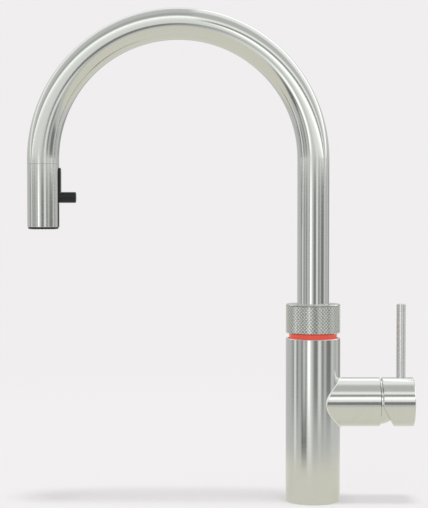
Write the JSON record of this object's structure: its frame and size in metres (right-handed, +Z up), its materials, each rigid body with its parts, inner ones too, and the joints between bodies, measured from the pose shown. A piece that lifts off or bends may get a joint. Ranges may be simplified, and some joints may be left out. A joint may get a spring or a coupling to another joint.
{
  "type": "pull-out mixer tap",
  "caption": "Gooseneck kitchen mixer tap in satin steel with a pull-out spray head, a side mixing lever and a knurled, lit push-and-turn ring for boiling water.",
  "frame": {"origin": "centre of the column's foot, on the worktop's top face", "axes": "+Z up the column, +X towards the mixing lever, -Y towards the user, spout swung to -X"},
  "size_m": [0.3192, 0.052, 0.4676],
  "materials": {
    "satin_steel": "satin, finely brushed",
    "plain_steel": "as drawn",
    "brass": "machined",
    "black_plastic": "fine matt moulding",
    "acetal": "moulded",
    "black_rubber": "moulded",
    "spray_silicone": "moulded silicone",
    "ceramic": "lapped",
    "light_guide": "translucent, lit from behind",
    "circuit_board": "solder mask",
    "magnet": "sintered",
    "hose_sheath": "smooth sheath over a braid"
  },
  "bodies": {
    "tap_body": {"column_shell": "satin_steel", "branch_shell": "satin_steel", "threaded_shank": "brass", "base_gasket": "black_rubber", "manifold": "brass", "cartridge_adapter": "brass", "port_seals": "black_rubber", "cartridge_base": "black_plastic", "fixed_disc": "ceramic", "cartridge_housing": "acetal", "cartridge_nut": "brass", "dome_cover": "satin_steel", "light_ring": "light_guide", "led_board": "circuit_board", "spout_retainer": "brass", "thrust_washer": "acetal", "ring_spring": "plain_steel"},
    "temperature_rotor": {"cartridge_rotor": "acetal", "stem_pin": "plain_steel"},
    "mixing_disc": {"moving_disc": "ceramic", "disc_carrier": "black_plastic"},
    "lever": {"cartridge_stem": "brass", "lever_hub": "satin_steel", "lever_rod": "satin_steel", "grub_screw": "plain_steel"},
    "ring_sleeve": {"push_sleeve": "acetal"},
    "boiling_ring": {"boil_ring": "satin_steel", "ring_cap": "satin_steel", "ring_carrier": "black_plastic", "magnet_ring": "magnet"},
    "spout": {"spout_tube": "satin_steel", "spout_spigot": "brass", "spigot_seals": "black_rubber", "glide_washer": "acetal", "docking_bush": "black_plastic", "boiling_tube": "plain_steel", "hose": "hose_sheath", "hose_tail": "brass"},
    "spray_head": {"head_shell": "satin_steel", "head_core": "black_plastic", "hose_nipple": "brass", "hose_ferrule": "plain_steel", "outlet_insert": "spray_silicone", "aerator": "acetal", "aerator_screen": "plain_steel", "selector_pin": "plain_steel", "hose_end": "hose_sheath"},
    "selector": {"selector_lever": "black_plastic"},
    "spool": {"diverter_spool": "brass", "spool_seals": "black_rubber"},
    "fixing_set": {"rubber_washer": "black_rubber", "clamp_washer": "plain_steel", "fixing_nut": "brass"}
  },
  "joints": [
    {"name": "lever_turn", "type": "hinge", "parent": "tap_body", "child": "temperature_rotor", "pos_m": [0.0538, 0, 0.0822], "axis": [1, 0, 0], "range_deg": [-45, 45]},
    {"name": "lever_tilt", "type": "hinge", "parent": "temperature_rotor", "child": "lever", "pos_m": [0.0538, 0, 0.0822], "axis": [0, 1, 0], "range_deg": [0, 25]},
    {"name": "disc_slide", "type": "slide", "parent": "temperature_rotor", "child": "mixing_disc", "axis": [0, 0, 1], "range_m": [0, 0.0049]},
    {"name": "ring_push", "type": "slide", "parent": "tap_body", "child": "ring_sleeve", "axis": [0, 0, -1], "range_m": [0, 0.0018], "stiffness_N_per_m": 1500, "springref_m": -0.003, "deforming": ["ring_spring"]},
    {"name": "ring_turn", "type": "hinge", "parent": "ring_sleeve", "child": "boiling_ring", "pos_m": [0, 0, 0.15], "axis": [0, 0, 1], "range_deg": [0, 90]},
    {"name": "spout_swivel", "type": "hinge", "parent": "tap_body", "child": "spout", "pos_m": [0, 0, 0.13], "axis": [0, 0, 1], "continuous": true},
    {"name": "head_pull", "type": "slide", "parent": "spout", "child": "spray_head", "axis": [0, 0, -1], "range_m": [0, 0.2], "stiffness_N_per_m": 5, "springref_m": -1, "deforming": ["hose_end"]},
    {"name": "selector_tilt", "type": "hinge", "parent": "spray_head", "child": "selector", "pos_m": [-0.2145, 0, 0.2515], "axis": [0, -1, 0], "range_deg": [0, 8]},
    {"name": "spool_slide", "type": "slide", "parent": "spray_head", "child": "spool", "axis": [0, 0, -1], "range_m": [0, 0.000837]},
    {"name": "nut_travel", "type": "slide", "parent": "tap_body", "child": "fixing_set", "axis": [0, 0, -1], "range_m": [0, 0.1]}
  ],
  "couplings": [
    {"joint": "disc_slide", "follows": "lever_tilt", "m_per_rad": 0.01114},
    {"joint": "selector_tilt", "follows": "spool_slide", "rad_per_m": 166.67}
  ]
}
